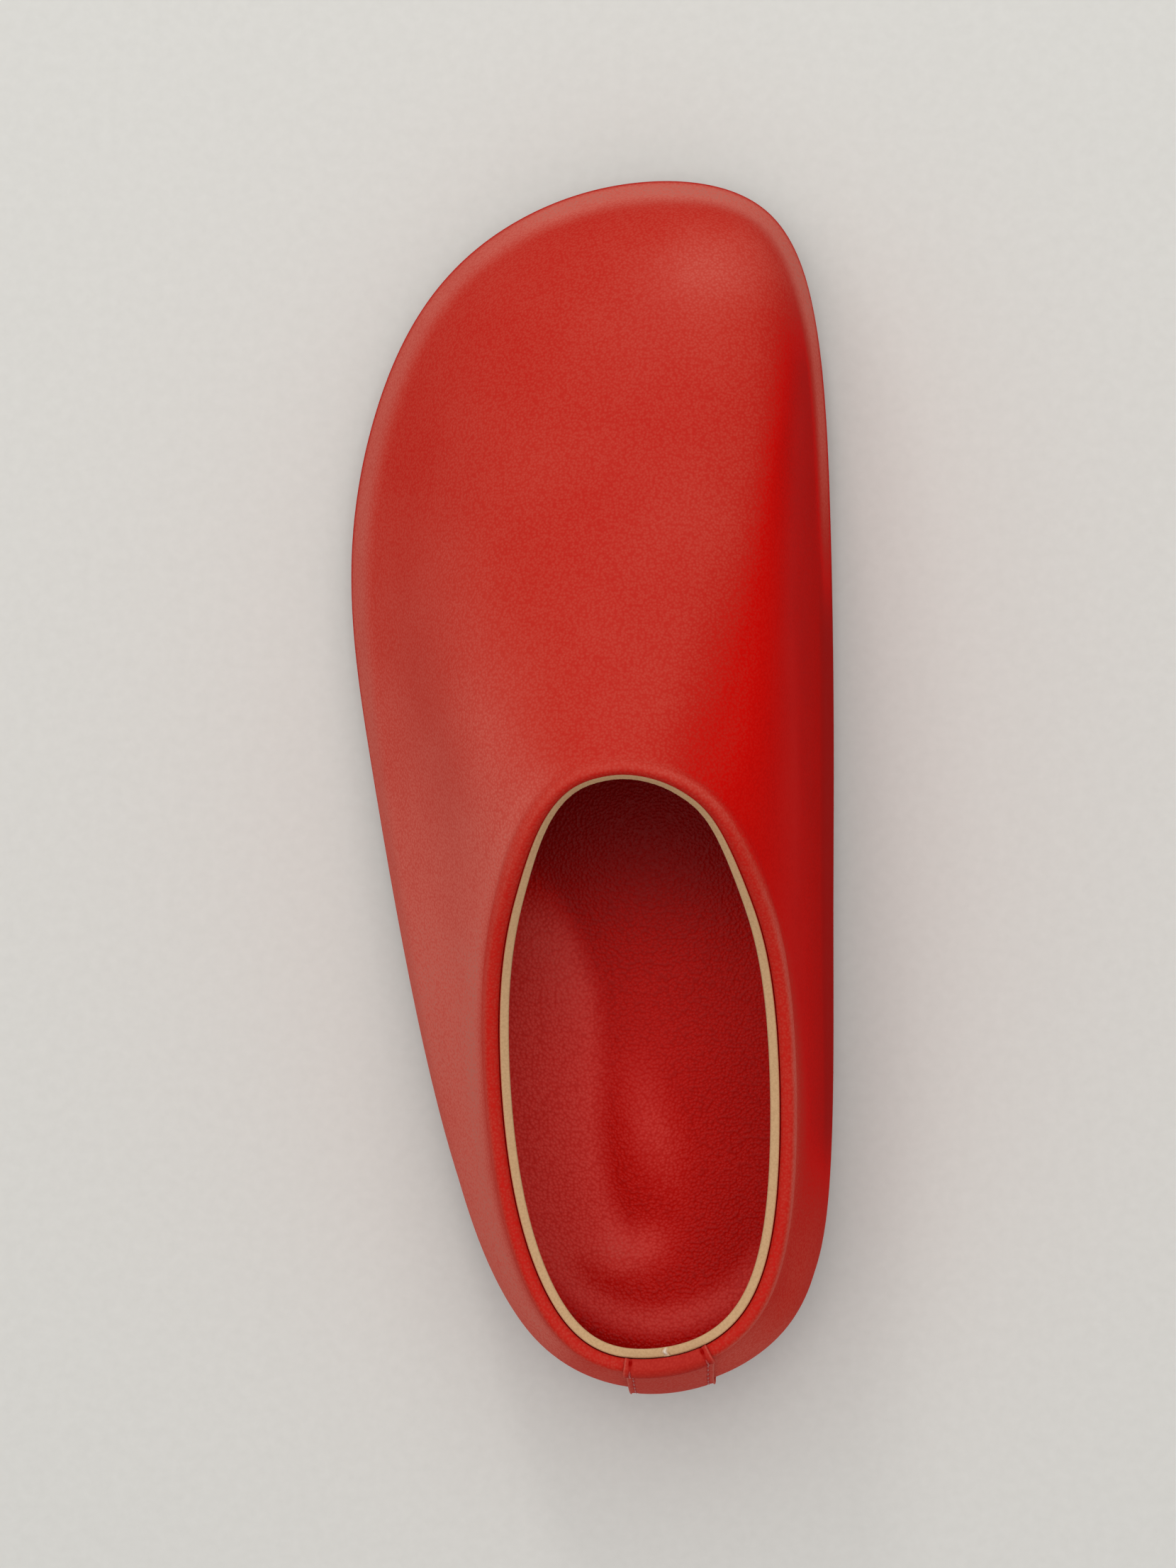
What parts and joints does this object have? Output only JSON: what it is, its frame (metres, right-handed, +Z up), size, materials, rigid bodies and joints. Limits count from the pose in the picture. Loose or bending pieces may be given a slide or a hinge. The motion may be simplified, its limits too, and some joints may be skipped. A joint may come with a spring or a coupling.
{
  "type": "clog",
  "caption": "Closed leather clog for the left foot with a broad round toe, rolled collar, raw lining edge, back strip, contoured insole and low wedge sole.",
  "frame": {"origin": "middle of the footprint box, on the floor under the sole", "axes": "+Y from heel to toe, +X towards the inner side of the left foot, +Z up"},
  "size_m": [0.1085, 0.2669, 0.0879],
  "materials": {
    "sole_rubber": "matte dark red rubber",
    "insole_leather": "grained red leather, semi-matte",
    "upper_leather": "smooth red leather with a fine grain and a soft sheen",
    "lining_leather": "raw cut tan edge, matte",
    "strip_leather": "smooth red leather with a soft sheen"
  },
  "bodies": {
    "root": {"outsole": "sole_rubber", "insole": "insole_leather", "upper": "upper_leather", "collar_lining": "lining_leather", "heel_strip": "strip_leather"}
  },
  "joints": []
}
